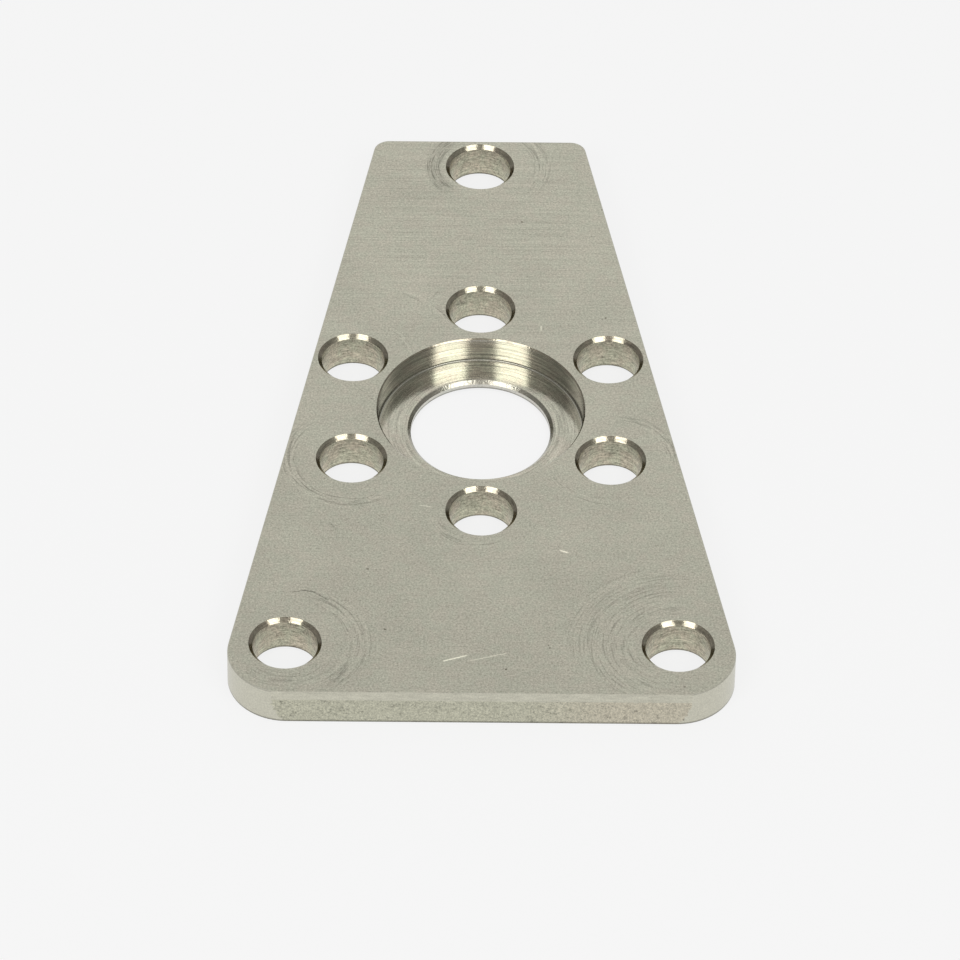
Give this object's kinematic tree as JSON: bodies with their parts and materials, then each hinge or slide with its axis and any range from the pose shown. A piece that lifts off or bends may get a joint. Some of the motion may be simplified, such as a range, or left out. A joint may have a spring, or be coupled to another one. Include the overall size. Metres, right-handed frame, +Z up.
{
  "type": "tapered mounting plate",
  "caption": "Flat tapered aluminium plate with a stepped centre seat and bore, a ring of bevelled bolt holes round it, and bevelled fixing holes near its ends.",
  "frame": {"origin": "centre of the bolt circle, on the axis of the centre bore, midway through the plate's thickness", "axes": "+Z up through the thickness, +Y from the wide end to the narrow end, +X across the plate"},
  "size_m": [0.0762, 0.1262, 0.006],
  "materials": {
    "machined_aluminium": "satin, milled, with a sheared wide edge"
  },
  "bodies": {
    "root": {"mounting_plate": "machined_aluminium"}
  },
  "joints": []
}
